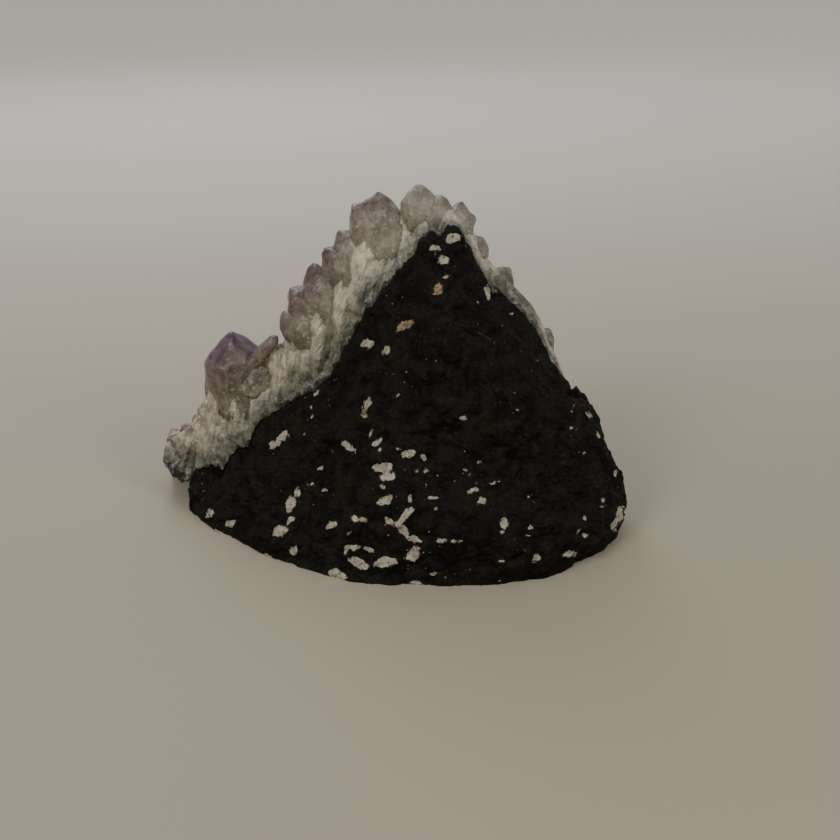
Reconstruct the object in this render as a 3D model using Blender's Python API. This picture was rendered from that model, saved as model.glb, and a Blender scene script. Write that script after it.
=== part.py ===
"""Amethyst cluster: a piece of geode wall, stood on a sawn base, seen from its rock side.

Two solids: the dark rock that the geode formed in, and the quartz crust with its amethyst points,
which grew on the rock as one piece. Tables and shape functions are in millimetres, and
mesh_object() turns them into metres. +X is right and +Y away from the viewer, with the crystals
on the far side; +Z is up, and Z = 0 is the saw cut that the piece stands on.
"""

import math
import random

import bmesh
import bpy
from mathutils import Vector, noise

MM = 0.001

# Where the middle of the finished piece's bounding box lies in the tables' own coordinates.
CENTRE_X = -0.9
CENTRE_Y = 4.9

# The ridge is where rock and crust meet on the viewer's side. Height and depth of the ridge along X:
RIDGE_HEIGHT = (
    (-67, 11), (-64, 7.5), (-61, 5.5), (-58.8, 6), (-57.6, 10.5), (-54, 12), (-52, 13), (-50, 11.8),
    (-48.2, 10.5), (-46.2, 14.4), (-44, 18.5), (-40.5, 19.5), (-38.7, 21.8), (-37, 26), (-33.8, 28),
    (-29.2, 32.6), (-22, 37), (-14.7, 43.5), (-10.4, 51.4), (-7.1, 57.4), (-5.4, 60), (-2.2, 63),
    (0, 67.4), (4.7, 73), (7.4, 76.6), (9.4, 82.6), (13.5, 83.3), (17.6, 85.3), (20, 83),
    (21.5, 79), (24.5, 73.5), (27, 68.4), (29.5, 65.6), (35.5, 60.8), (39.5, 54.6), (42, 48.8),
    (47, 42), (52, 39.5), (56.3, 33.5), (59.3, 24), (61.5, 16.5), (63, 8), (63.5, 2.5),
)
RIDGE_DEPTH = (
    (-67, 14), (-58, 9), (-45, 7), (-20, 5), (8, 2), (20, 2), (41, 4), (52, 4), (60, 1), (63.5, -4),
)
# Depth of the rock's front foot and back foot along X:
FRONT_FOOT = (
    (-67, 11), (-60.5, 8), (-58, 0), (-49, -10.5), (-38, -19), (-30, -24), (-23, -28.5), (-15, -32.5),
    (-2, -35.5), (9, -36.5), (26, -36.5), (39, -34.5), (49, -28.5), (57, -17.5), (63.5, -5),
)
BACK_FOOT = (
    (-67, 35), (-60, 34), (-50, 31), (-30, 27), (0, 21.5), (14, 20), (30, 19), (45, 17), (55, 13),
    (60, 8), (63.5, 0),
)
# The crust's outer side, which the crystals stand on: height and depth of its upper edge, and depth
# of its back foot. Between the ridge and this edge lies the crust's broken face.
EDGE_HEIGHT = (
    (-67, 14.0), (-64, 16.5), (-61, 18.5), (-57.5, 21.5), (-54.5, 27), (-51, 33), (-46, 37), (-41, 39.5),
    (-37, 43.3), (-33.5, 47.4), (-30, 49.2), (-28.5, 51.4), (-26.5, 55.5), (-24, 60), (-21, 64),
    (-17, 67), (-14, 70), (-11.5, 75), (-9, 80.5), (-6.5, 84), (-2, 86), (4, 86), (8, 87.5), (12, 87),
    (16, 87.5), (19.5, 86), (22, 82), (24.5, 77), (28, 72.5), (31, 69), (35, 65.2), (38.5, 61.5),
    (41.8, 54.5), (44.3, 49), (47, 44),
)
EDGE_DEPTH = ((-67, 17.5), (-58, 16), (-45, 15), (-20, 13), (8, 10), (20, 8), (41, 7.5), (47, 7))
OUTER_FOOT = ((-67, 39.5), (-60, 41), (-48, 42), (-20, 38), (5, 33), (22, 30), (36, 25), (47, 20.5))
# How far each surface bows out (1, a square corner) or in (below 0) between its two edges:
FRONT_BOW = ((-67, 0.2), (-40, 0.3), (10, 0.25), (40, 0.35), (52, 0.75), (63.5, 0.9))
SEAM_BOW = ((-67, 0), (-40, -0.1), (0, -0.2), (25, 0.0), (47, 0.1), (52, 0.4), (63.5, 0.9))
OUTER_BOW = ((-67, 0), (-58, 0.2), (-40, 0.25), (0, 0.1), (25, 0.1), (38, 0.2), (47, 0.4))

ROCK_ENDS = (-59.0, 63.5)
CRUST_ENDS = (-67.0, 47.0)
CALM_REACH = 8.0    # how far to each side calm() averages
STATION = 2.5       # spacing of the cross-sections along X
FRONT_ROWS = 18     # rows up the rock's front
BACK_ROWS = 9       # rows down the seam and down the crust's outer side
EDGE_ROWS = 5       # rows across the crust's broken edge
BELOW = 6.0         # how far both solids run below the saw cut before it is made
SEAM_GAP = 0.35     # clearance between the two solids
BELLY = 0.055       # share by which the right flank swells a little above its foot
BELLY_HEIGHT = 22.0

# Rhombohedral faces of quartz stand 51.8 degrees off the base of the prism.
TIP_ANGLE = math.radians(51.8)

# Crystals that shape the outline: tip X, Y, Z, then the way each points, its width and its length.
NAMED_POINTS = {
    "tall_point": ((-44.4, 18.5, 49.9), (-0.05, 0.04, 1.0), 16.5, 28.0),
    "leaning_point": ((-31.0, 12.8, 51.0), (0.66, 0.02, 0.75), 4.6, 20.0),
    "low_shoulder": ((-36.5, 18.0, 45.0), (0.15, 0.30, 0.93), 10.0, 14.0),
    "left_knuckle": ((-29.2, 15.5, 56.9), (-0.70, 0.15, 0.65), 11.0, 19.0),
    "left_knuckle_top": ((-26.8, 16.0, 63.8), (-0.60, 0.15, 0.78), 9.5, 20.0),
    "middle_knuckle": ((-21.2, 16.0, 69.9), (-0.42, 0.12, 0.90), 11.5, 24.0),
    "upper_knuckle": ((-17.4, 15.0, 75.4), (-0.70, 0.12, 0.70), 10.5, 18.0),
    "upper_knuckle_top": ((-13.2, 15.5, 79.3), (-0.55, 0.20, 0.80), 9.0, 16.0),
    "crown_left": ((-9.6, 15.0, 87.2), (-0.60, 0.15, 0.78), 13.0, 22.0),
    "crown": ((-2.8, 14.5, 90.2), (-0.15, 0.20, 0.96), 12.5, 20.0),
    "peak": ((7.8, 12.5, 92.6), (-0.08, 0.15, 1.0), 9.5, 15.0),
    "peak_side": ((13.2, 12.0, 90.0), (0.10, 0.30, 0.90), 9.0, 12.0),
    "right_crown": ((19.4, 11.5, 88.4), (0.20, 0.25, 0.93), 9.0, 9.5),
    "right_shoulder": ((25.6, 11.5, 78.8), (0.65, 0.30, 0.62), 8.5, 7.0),
    "right_knuckle": ((32.4, 12.5, 69.8), (0.60, 0.35, 0.60), 10.5, 7.5),
}

WANDER_SEED = 4          # of the rock's and the crust's uneven surfaces

# Crystals that fill the rest of the crust's outer side:
FILL_SEED = 11
FILL_TRIES = 2600
FILL_WIDTH = (9.5, 15.0)
FILL_SPACING = 0.37      # closest two crystals stand, as a share of their two widths
FILL_LEAN = 0.22         # most that a crystal leans off square to the crust


def clamp(value, low=0.0, high=1.0):
    return max(low, min(high, value))


def ease(value):
    value = clamp(value)
    return value * value * (3 - 2 * value)


def along(table, x):
    """The table's value at x, on straight runs between its points."""
    if x <= table[0][0]:
        return table[0][1]
    for (x0, v0), (x1, v1) in zip(table, table[1:]):
        if x <= x1:
            return v0 + (v1 - v0) * (x - x0) / (x1 - x0)
    return table[-1][1]


def bow(start, end, amount, t):
    """A point at t on the curve from start to end. amount bows it towards the corner over the outer end."""
    lower, upper = sorted((start, end), key=lambda p: p[1])
    middle = ((start[0] + end[0]) / 2, (start[1] + end[1]) / 2)
    corner = (lower[0], upper[1])
    control = tuple(m + amount * (c - m) for m, c in zip(middle, corner))
    return tuple(
        (1 - t) ** 2 * s + 2 * t * (1 - t) * c + t * t * e for s, c, e in zip(start, control, end)
    )


def calm(table, x):
    """The table's value averaged over a wide stretch, so that its jags don't run down a surface.
    The stretch narrows towards the right end, where the heights fall away fast."""
    reach = CALM_REACH * clamp((60 - x) / 12)
    return sum(along(table, x + reach * n / 2) for n in range(-2, 3)) / 5


def front(x, t):
    """The rock's front surface, from its foot below the saw cut (t = 0) up to the ridge (t = 1)."""
    level = calm(RIDGE_HEIGHT, x)
    foot = (calm(FRONT_FOOT, x), -BELOW)
    y, z = bow(foot, (calm(RIDGE_DEPTH, x), level), along(FRONT_BOW, x), t)
    return Vector((x, y, z + (along(RIDGE_HEIGHT, x) - level) * t ** 3))


def seam(x, t):
    """The surface where rock and crust meet, from the ridge (t = 0) down to the back foot (t = 1)."""
    level = calm(RIDGE_HEIGHT, x)
    foot = (calm(BACK_FOOT, x), -BELOW)
    y, z = bow((calm(RIDGE_DEPTH, x), level), foot, along(SEAM_BOW, x), t)
    return Vector((x, y, z + (along(RIDGE_HEIGHT, x) - level) * (1 - t) ** 3))


def outer(x, t):
    """The crust's outer side, from its upper edge (t = 0) down to its foot (t = 1)."""
    level = calm(EDGE_HEIGHT, x)
    foot = (calm(OUTER_FOOT, x), -BELOW)
    y, z = bow((calm(EDGE_DEPTH, x), level), foot, along(OUTER_BOW, x), t)
    return Vector((x, y, z + (along(EDGE_HEIGHT, x) - level) * (1 - t) ** 3))


def square_to(surface, x, t):
    """The way square to a surface, away from the rock, read over a patch some millimetres wide."""
    lengthways = surface(x + 4, t) - surface(x - 4, t)
    down = surface(x, clamp(t + 0.06)) - surface(x, clamp(t - 0.06))
    return lengthways.cross(down).normalized()


def settle(point):
    """The natural unevenness that rock and crust share: the right flank's belly, then a slow and a
    quicker wander. The saw cut is made afterwards, so it stays flat."""
    belly = BELLY * math.sin(math.pi * clamp(point.z / BELLY_HEIGHT)) * clamp((point.x + 20) / 50)
    point = Vector((point.x * (1 + belly), point.y * (1 + belly), point.z))
    slow = noise.noise_vector(point / 24.0 + Vector((3.1, 7.7, 1.3))) * 1.8
    quick = noise.noise_vector(point / 9.0 + Vector((5.2, 0.4, 9.6))) * 0.7
    return point + slow + quick


def rock_lumps(point):
    """How far a lump or a pit stands out of the rock's open surface."""
    broad = noise.noise(point / 19.0 + Vector((2.0, 4.0, 6.0))) * 2.4
    small = noise.noise(point / 9.0 + Vector((8.0, 1.0, 5.0))) * 1.5
    return broad + small


def stations(ends):
    """X of each cross-section: whole steps of STATION, so that both solids share them, and both ends."""
    first = math.ceil(ends[0] / STATION + 0.25)
    last = math.floor(ends[1] / STATION - 0.25)
    return [ends[0]] + [n * STATION for n in range(first, last + 1)] + [ends[1]]


def loft(bm, rings):
    """Skins rings of equal, even length into one closed body. Each end is closed by a ladder whose
    rungs run from one side of the ring to the other, so that it stays clean on a thin, curved end."""
    rows = [[bm.verts.new(point) for point in ring] for ring in rings]
    count = len(rows[0])
    for one, two in zip(rows, rows[1:]):
        for i in range(count):
            j = (i + 1) % count
            bm.faces.new((one[i], one[j], two[j], two[i]))
    for row in (rows[0], rows[-1]):
        for i in range(count // 2 - 1):
            bm.faces.new((row[i], row[i + 1], row[-2 - i], row[-1 - i]))
    bmesh.ops.recalc_face_normals(bm, faces=bm.faces)


def rock_ring(x):
    """One cross-section of the rock: up its front and down its seam with the crust."""
    ring = []
    for row in range(FRONT_ROWS):
        t = row / FRONT_ROWS
        point = front(x, t)
        outwards = Vector((x / 90.0, -1.0, 0.35)).normalized()
        fade = math.sin(math.pi * t) ** 0.5
        ring.append(settle(point + outwards * rock_lumps(point) * fade))
    for row in range(BACK_ROWS + 1):
        ring.append(settle(seam(x, row / BACK_ROWS)))
    return ring


def crust_ring(x):
    """One cross-section of the crust: down its seam with the rock, up its outer side, and across
    the broken face at the ridge, which the columns make uneven."""
    ring = []
    for row in range(BACK_ROWS + 1):
        t = row / BACK_ROWS
        ring.append(settle(seam(x, t)) + square_to(seam, x, t) * SEAM_GAP)
    for row in range(BACK_ROWS, -1, -1):
        ring.append(settle(outer(x, row / BACK_ROWS)))
    edge, ridge = ring[-1], ring[0]
    face = []
    for row in range(1, EDGE_ROWS):
        share = row / EDGE_ROWS
        columns = noise.noise(Vector((x / 3.5, share * 1.5, 4.0)))
        relief = (columns * 0.12 + 0.05) * (edge - ridge).length * math.sin(math.pi * share)
        face.append(edge.lerp(ridge, share) + Vector((0, -relief, 0)))
    half = len(face) // 2
    return face[half:] + ring + face[:half]


def mesh_object(name, bm, material=None):
    """Turns a bmesh in table millimetres into an object in metres."""
    mesh = bpy.data.meshes.new(name)
    bm.to_mesh(mesh)
    bm.free()
    for vertex in mesh.vertices:
        vertex.co = (vertex.co - Vector((CENTRE_X, CENTRE_Y, 0))) * MM
    obj = bpy.data.objects.new(name, mesh)
    bpy.context.scene.collection.objects.link(obj)
    if material:
        mesh.materials.append(material)
    return obj


def helper(obj):
    """A shape that only cuts or joins, and isn't a piece of the object."""
    obj.hide_render = True
    obj.display_type = "WIRE"
    return obj


def material(name, colour, roughness, transmission=0.0):
    made = bpy.data.materials.new(name)
    made.use_nodes = True
    shader = made.node_tree.nodes["Principled BSDF"]
    shader.inputs["Base Color"].default_value = (*colour, 1.0)
    shader.inputs["Roughness"].default_value = roughness
    shader.inputs["Metallic"].default_value = 0.0
    shader.inputs["IOR"].default_value = 1.54
    shader.inputs["Transmission Weight"].default_value = transmission
    made.diffuse_color = (*colour, 1.0)
    return made


def crystal(tip, axis, width, length, rng):
    """One quartz crystal as a bmesh: a six-sided prism under three large and three small tip faces."""
    bm = bmesh.new()
    bmesh.ops.create_cube(bm, size=4 * max(width, length))
    turn = rng.uniform(0, math.tau)
    planes = [((0, 0, -length), (0, 0, -1))]
    for side in range(6):
        angle = turn + side * math.pi / 3
        outwards = Vector((math.cos(angle), math.sin(angle), 0))
        planes.append((outwards * width / 2 * rng.uniform(0.86, 1.08), outwards))
        set_back = 0 if side % 2 == 0 else rng.uniform(0.03, 0.16) * width
        face = outwards * math.sin(TIP_ANGLE) + Vector((0, 0, math.cos(TIP_ANGLE)))
        planes.append((face * set_back, face))
    for point, normal in planes:
        cut = bmesh.ops.bisect_plane(
            bm,
            geom=bm.verts[:] + bm.edges[:] + bm.faces[:],
            plane_co=point,
            plane_no=normal,
            clear_outer=True,
        )
        rim = [e for e in cut["geom_cut"] if isinstance(e, bmesh.types.BMEdge)]
        if rim:
            bmesh.ops.contextual_create(bm, geom=rim)
    bmesh.ops.remove_doubles(bm, verts=bm.verts, dist=0.02)
    turned = Vector(axis).normalized().to_track_quat("Z", "Y").to_matrix().to_4x4()
    turned.translation = Vector(tip)
    bmesh.ops.transform(bm, matrix=turned, verts=bm.verts)
    bmesh.ops.recalc_face_normals(bm, faces=bm.faces)
    return bm


def fill_points(rng):
    """Crystals over the whole outer side of the crust, as (tip, axis, width, length)."""
    taken = [(Vector(tip) - Vector(axis).normalized() * width * 0.5, width)
             for tip, axis, width, length in NAMED_POINTS.values()]
    found = []
    for _ in range(FILL_TRIES):
        x = rng.uniform(CRUST_ENDS[0] + 3, CRUST_ENDS[1] - 3)
        t = rng.uniform(0.0, 0.97)
        width = rng.uniform(*FILL_WIDTH) * (1 - 0.4 * ease((x - 10) / 35))
        outwards = square_to(outer, x, t)
        foot = settle(outer(x, t))
        if foot.z < 3 or (t < 0.12 and x > 8) or (t < 0.3 and x < -48):
            continue
        if any((foot - other).length < FILL_SPACING * (width + w) for other, w in taken):
            continue
        lean = Vector([rng.uniform(-FILL_LEAN, FILL_LEAN) for _ in range(3)])
        axis = (outwards + lean).normalized()
        above = width * rng.uniform(0.42, 0.66)
        sunk = min(3.0, 0.25 * (outer(x, t) - seam(x, t)).length)
        taken.append((foot, width))
        found.append((foot + axis * above, axis, width, above + sunk))
    return found


def crystals():
    """A hidden collection of every crystal that stands on the crust."""
    group = bpy.data.collections.new("crystal_points")
    bpy.context.scene.collection.children.link(group)
    rng = random.Random(FILL_SEED)
    points = dict(NAMED_POINTS)
    points.update((f"fill_point_{n:03d}", point) for n, point in enumerate(fill_points(rng)))
    for name, (tip, axis, width, length) in points.items():
        obj = helper(mesh_object(name, crystal(tip, axis, width, length, rng)))
        bpy.context.scene.collection.objects.unlink(obj)
        group.objects.link(obj)
    return group


def boolean(obj, operation, other):
    modifier = obj.modifiers.new(operation.title(), "BOOLEAN")
    modifier.operation = operation
    modifier.solver = "EXACT"
    if isinstance(other, bpy.types.Collection):
        modifier.operand_type = "COLLECTION"
        modifier.collection = other
    else:
        modifier.object = other


def base_saw():
    """The block below Z = 0 that the saw cut takes away."""
    bm = bmesh.new()
    bmesh.ops.create_cube(bm, size=1)
    bmesh.ops.scale(bm, vec=(220, 220, 40), verts=bm.verts)
    bmesh.ops.translate(bm, vec=(0, 0, -20), verts=bm.verts)
    return helper(mesh_object("base_saw", bm))


def body(name, rings, look):
    bm = bmesh.new()
    loft(bm, rings)
    return mesh_object(name, bm, look)


def main():
    for obj in list(bpy.data.objects):
        bpy.data.objects.remove(obj)
    noise.seed_set(WANDER_SEED)
    rock_look = material("basalt", (0.022, 0.021, 0.018), 0.7)
    quartz_look = material("amethyst_quartz", (0.42, 0.33, 0.45), 0.18, 0.4)
    rock = body("rock_matrix", [rock_ring(x) for x in stations(ROCK_ENDS)], rock_look)
    crust = body("amethyst_crust", [crust_ring(x) for x in stations(CRUST_ENDS)], quartz_look)
    rock.data.shade_smooth()
    saw = base_saw()
    boolean(rock, "DIFFERENCE", saw)
    boolean(crust, "UNION", crystals())
    boolean(crust, "DIFFERENCE", saw)


main()
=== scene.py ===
"""Amethyst cluster: the fine rock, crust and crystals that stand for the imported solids.

Shapes are worked out in table millimetres, as the solids are, and mesh_piece() turns them into
metres in the frame's own place. +X is right, +Y away from the viewer and +Z up.
"""

import math
import random

import bmesh
import bpy
import numpy as np
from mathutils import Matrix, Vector, noise
from mathutils.kdtree import KDTree


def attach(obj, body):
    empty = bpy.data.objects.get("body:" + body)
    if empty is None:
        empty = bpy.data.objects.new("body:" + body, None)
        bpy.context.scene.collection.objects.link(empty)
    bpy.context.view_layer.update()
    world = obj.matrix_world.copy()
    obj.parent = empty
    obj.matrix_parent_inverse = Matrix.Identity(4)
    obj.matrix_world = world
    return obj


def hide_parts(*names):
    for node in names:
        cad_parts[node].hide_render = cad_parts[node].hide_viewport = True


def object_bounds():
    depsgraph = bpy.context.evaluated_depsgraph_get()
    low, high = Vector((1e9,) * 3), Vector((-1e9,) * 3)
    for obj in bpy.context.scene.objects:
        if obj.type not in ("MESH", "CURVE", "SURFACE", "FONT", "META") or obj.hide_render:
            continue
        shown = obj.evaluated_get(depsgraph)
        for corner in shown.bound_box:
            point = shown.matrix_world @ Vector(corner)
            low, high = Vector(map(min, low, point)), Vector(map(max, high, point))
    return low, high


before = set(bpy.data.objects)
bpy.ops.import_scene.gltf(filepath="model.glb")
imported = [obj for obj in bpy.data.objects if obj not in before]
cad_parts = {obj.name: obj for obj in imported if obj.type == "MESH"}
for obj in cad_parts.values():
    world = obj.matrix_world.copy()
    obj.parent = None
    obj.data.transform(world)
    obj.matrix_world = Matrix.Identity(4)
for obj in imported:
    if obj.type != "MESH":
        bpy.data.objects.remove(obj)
CAD_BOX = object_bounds()

MM = 0.001

# Where the middle of the piece lies in the tables' own coordinates.
CENTRE_X = -0.9
CENTRE_Y = 4.9

# The photograph's view: how far down it looks, from how far away, at which point of the tables'
# coordinates, and its focal length and frame in pixels.
VIEW_DOWN = math.radians(25)
VIEW_DISTANCE = 300.0
VIEW_TARGET = Vector((8.4, 0.0, 31.1))
FOCAL_PIXELS = 1100.0
FRAME_PIXELS = 840

# The ridge is where rock and crust meet on the viewer's side. Height and depth of the ridge along X:
RIDGE_HEIGHT = (
    (-67, 11), (-64, 7.5), (-61, 5.5), (-58.8, 6), (-57.6, 10.5), (-54, 12), (-52, 13), (-50, 11.8),
    (-48.2, 10.5), (-46.2, 14.4), (-44, 18.5), (-40.5, 19.5), (-38.7, 21.8), (-37, 26), (-33.8, 28),
    (-29.2, 32.6), (-22, 37), (-14.7, 43.5), (-10.4, 51.4), (-7.1, 57.4), (-5.4, 60), (-2.2, 63),
    (0, 67.4), (4.7, 73), (7.4, 76.6), (9.4, 82.6), (13.5, 83.3), (17.6, 85.3), (20, 83),
    (21.5, 79), (24.5, 73.5), (27, 68.4), (29.5, 65.6), (35.5, 60.8), (39.5, 54.6), (42, 48.8),
    (47, 42), (52, 39.5), (56.3, 33.5), (59.3, 24), (61.5, 16.5), (63, 8), (63.5, 2.5),
)
RIDGE_DEPTH = (
    (-67, 14), (-58, 9), (-45, 7), (-20, 5), (8, 2), (20, 2), (41, 4), (52, 4), (60, 1), (63.5, -4),
)
# Depth of the rock's front foot and back foot along X:
FRONT_FOOT = (
    (-67, 11), (-60.5, 8), (-58, 0), (-49, -10.5), (-38, -19), (-30, -24), (-23, -28.5), (-15, -32.5),
    (-2, -35.5), (9, -36.5), (26, -36.5), (39, -34.5), (49, -28.5), (57, -17.5), (63.5, -5),
)
BACK_FOOT = (
    (-67, 35), (-60, 34), (-50, 31), (-30, 27), (0, 21.5), (14, 20), (30, 19), (45, 17), (55, 13),
    (60, 8), (63.5, 0),
)
# The crust's outer side, which the crystals stand on: height and depth of its upper edge, and depth
# of its back foot. Between the ridge and this edge lies the crust's broken face.
EDGE_HEIGHT = (
    (-67, 14.0), (-64, 16.5), (-61, 18.5), (-57.5, 21.5), (-54.5, 27), (-51, 33), (-46, 37), (-41, 39.5),
    (-37, 43.3), (-33.5, 47.4), (-30, 49.2), (-28.5, 51.4), (-26.5, 55.5), (-24, 60), (-21, 64),
    (-17, 67), (-14, 70), (-11.5, 75), (-9, 80.5), (-6.5, 84), (-2, 86), (4, 86), (8, 87.5), (12, 87),
    (16, 87.5), (19.5, 86), (22, 82), (24.5, 77), (28, 72.5), (31, 69), (35, 65.2), (38.5, 61.5),
    (41.8, 54.5), (44.3, 49), (47, 44),
)
EDGE_DEPTH = ((-67, 17.5), (-58, 16), (-45, 15), (-20, 13), (8, 10), (20, 8), (41, 7.5), (47, 7))
OUTER_FOOT = ((-67, 39.5), (-60, 41), (-48, 42), (-20, 38), (5, 33), (22, 30), (36, 25), (47, 20.5))
# How far each surface bows out (1, a square corner) or in (below 0) between its two edges:
FRONT_BOW = ((-67, 0.2), (-40, 0.3), (10, 0.25), (40, 0.35), (52, 0.75), (63.5, 0.9))
SEAM_BOW = ((-67, 0), (-40, -0.1), (0, -0.2), (25, 0.0), (47, 0.1), (52, 0.4), (63.5, 0.9))
OUTER_BOW = ((-67, 0), (-58, 0.2), (-40, 0.25), (0, 0.1), (25, 0.1), (38, 0.2), (47, 0.4))

ROCK_ENDS = (-59.0, 63.5)
CRUST_ENDS = (-67.0, 47.0)
CALM_REACH = 8.0         # reach of the averaging that keeps jags near their own line
BELOW = 6.0              # how far the surfaces run on below the saw cut
SEAM_GAP = 0.35          # room between rock and crust
BELLY = 0.055            # how much the lower right part swells out, as a share
BELLY_HEIGHT = 22.0      # height up to which it does so
TIP_ANGLE = math.radians(51.8)  # between a crystal's tip faces and its base

# Crystals that shape the outline: tip X, Y, Z, then the way each points, its width and its length.
NAMED_POINTS = {
    "tall_point": ((-44.4, 18.5, 49.9), (-0.05, 0.04, 1.0), 16.5, 28.0),
    "leaning_point": ((-31.0, 12.8, 51.0), (0.66, 0.02, 0.75), 4.6, 20.0),
    "low_shoulder": ((-36.5, 18.0, 45.0), (0.15, 0.30, 0.93), 10.0, 14.0),
    "left_knuckle": ((-29.2, 15.5, 56.9), (-0.70, 0.15, 0.65), 11.0, 19.0),
    "left_knuckle_top": ((-26.8, 16.0, 63.8), (-0.60, 0.15, 0.78), 9.5, 20.0),
    "middle_knuckle": ((-21.2, 16.0, 69.9), (-0.42, 0.12, 0.90), 11.5, 24.0),
    "upper_knuckle": ((-17.4, 15.0, 75.4), (-0.70, 0.12, 0.70), 10.5, 18.0),
    "upper_knuckle_top": ((-13.2, 15.5, 79.3), (-0.55, 0.20, 0.80), 9.0, 16.0),
    "crown_left": ((-9.6, 15.0, 87.2), (-0.60, 0.15, 0.78), 13.0, 22.0),
    "crown": ((-2.8, 14.5, 90.2), (-0.15, 0.20, 0.96), 12.5, 20.0),
    "peak": ((7.8, 12.5, 92.6), (-0.08, 0.15, 1.0), 9.5, 15.0),
    "peak_side": ((13.2, 12.0, 90.0), (0.10, 0.30, 0.90), 9.0, 12.0),
    "right_crown": ((19.4, 11.5, 88.4), (0.20, 0.25, 0.93), 9.0, 9.5),
    "right_shoulder": ((25.6, 11.5, 78.8), (0.65, 0.30, 0.62), 8.5, 7.0),
    "right_knuckle": ((32.4, 12.5, 69.8), (0.60, 0.35, 0.60), 10.5, 7.5),
}
WANDER_SEED = 4          # seed of the noise that every shape takes its unevenness from

# Crystals spread over the rest of the crust's outer side. Spacing is a share of two neighbours' widths,
# and rise is how far a tip stands above the crust, as a share of the crystal's width.
FILL_SEED = 11
FILL_TRIES = 2600
FILL_WIDTH = (9.5, 15.0)
FILL_SPACING = 0.37
FILL_LEAN = 0.22
FILL_RISE = (0.42, 0.66)

# Small crystals between the large ones, which only this model has:
SMALL_SEED = 23
SMALL_TRIES = 5200
SMALL_WIDTH = (2.6, 6.2)
SMALL_SPACING = 0.36
SMALL_LEAN = 0.5
SMALL_RISE = (0.35, 0.8)
CROWDING = 0.55          # share of a large crystal's width that keeps the small ones away
WORN_EDGE = 0.05         # width of a crystal's worn edges, as a share of its own width

# The named crystals' broken, rounded skin: fineness, passes of smoothing, and how thin a lath is.
ROUNDED_CELL = 1.3
ROUNDED_PASSES = 9
THIN_POINTS = {"leaning_point": 0.75}
POINT_HEIGHT = 8.0       # height above the crust over which a crystal turns from milky to purple

# Fineness of the surfaces, in millimetres and rows.
ROCK_STATION = 0.45
ROCK_FRONT_ROWS = 206
ROCK_BACK_ROWS = 64
CRUST_STATION = 0.42
CRUST_BACK_ROWS = 36
CRUST_FACE_ROWS = 57

# Share of the broken face's rise that counts along X: low where the whole face is grey-green.
GREEN_STRETCH = ((24, 1.0), (28.5, 0.5), (32, 0.24), (38, 0.24), (42, 0.8))

# Least share of the rise that the grey-green stretches keep, and how far behind its upper edge the
# crust is fully grown again, in millimetres.
LEAST_GROWN = 0.2
GROWN_BEHIND = 5.0

# Where the hidden side begins, in metres along Y, for its cleaner and more purple look.
BEHIND_THE_RIDGE = (0.005, 0.021)

# Where, across the columns, the streaked left part of the broken face turns into the grainy upper part,
# and where that ends on the right.
UPPER_PART = (-30.0, -8.0)
RIGHT_PART = (28.0, 18.0)

# How far the columns in the crust's broken face lean to the right of upright, in degrees, along X.
COLUMN_LEAN = ((-60, 24), (-52, 18), (-44, 12), (-34, 6), (-24, 4), (-12, 0), (0, -4), (20, 10))

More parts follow.
